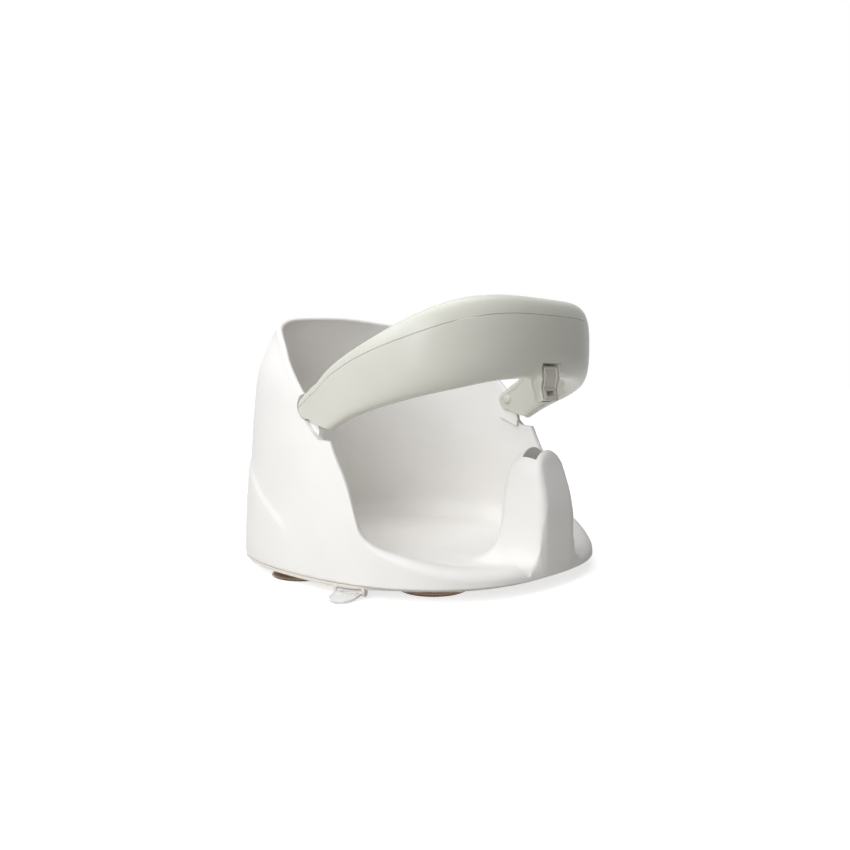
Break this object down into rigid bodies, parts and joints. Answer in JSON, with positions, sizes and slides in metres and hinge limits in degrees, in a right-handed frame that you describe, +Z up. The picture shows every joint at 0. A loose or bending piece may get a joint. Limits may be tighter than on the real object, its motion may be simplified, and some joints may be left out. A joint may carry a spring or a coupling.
{
  "type": "baby bath ring",
  "caption": "Bucket-shaped baby bath seat on suction cups, with a high backrest, a crotch post between two leg openings and a U-shaped bar that swings down and latches.",
  "frame": {"origin": "on the tub floor under the middle of the base outline", "axes": "+Z up, -Y towards the crotch post and the bar's latch, +Y towards the backrest, +X to the seated child's left"},
  "size_m": [0.3362, 0.3388, 0.2507],
  "materials": {
    "white_plastic": "fine satin moulding",
    "cream_plastic": "satin moulding",
    "sage_plastic": "glossy moulding",
    "lever_plastic": "glossy moulding",
    "smoky_vinyl": "smooth smoky soft vinyl",
    "clear_vinyl": "milky, slightly clear soft vinyl",
    "steel": "drawn stainless wire and pins"
  },
  "bodies": {
    "seat": {"seat_shell": "white_plastic", "base_plate": "cream_plastic", "suction_cup_front_right": "smoky_vinyl", "suction_cup_front_left": "smoky_vinyl", "suction_cup_side_right": "smoky_vinyl", "suction_cup_side_left": "smoky_vinyl", "suction_cup_rear": "smoky_vinyl", "plate_screw_front_right": "steel", "plate_screw_front_left": "steel", "plate_screw_side_right": "steel", "plate_screw_side_left": "steel", "plate_screw_rear_right": "steel", "plate_screw_rear_left": "steel", "release_tab_pin_left": "steel", "release_tab_pin_right": "steel"},
    "bar": {"bar_upper_shell": "sage_plastic", "bar_lower_shell": "sage_plastic", "hinge_pin_left": "steel", "hinge_pin_right": "steel", "latch_lever_pin": "steel"},
    "latch": {"latch_lever": "lever_plastic", "latch_lever_spring": "steel"},
    "release_left": {"release_tab_left": "clear_vinyl"},
    "release_right": {"release_tab_right": "clear_vinyl"}
  },
  "joints": [
    {"name": "bar_swing", "type": "hinge", "parent": "seat", "child": "bar", "pos_m": [0, -0.01, 0.1575], "axis": [-1, 0, 0], "range_deg": [-22, 12]},
    {"name": "latch_press", "type": "hinge", "parent": "bar", "child": "latch", "pos_m": [0, -0.15459, 0.1899], "axis": [1, 0, 0], "range_deg": [0, 6]},
    {"name": "release_tab_left_lift", "type": "hinge", "parent": "seat", "child": "release_left", "pos_m": [-0.1456, -0.0595, 0.0052], "axis": [-0.2419, 0.9703, 0], "range_deg": [0, 15]},
    {"name": "release_tab_right_lift", "type": "hinge", "parent": "seat", "child": "release_right", "pos_m": [0.1456, -0.0595, 0.0052], "axis": [-0.2419, -0.9703, 0], "range_deg": [0, 15]}
  ]
}
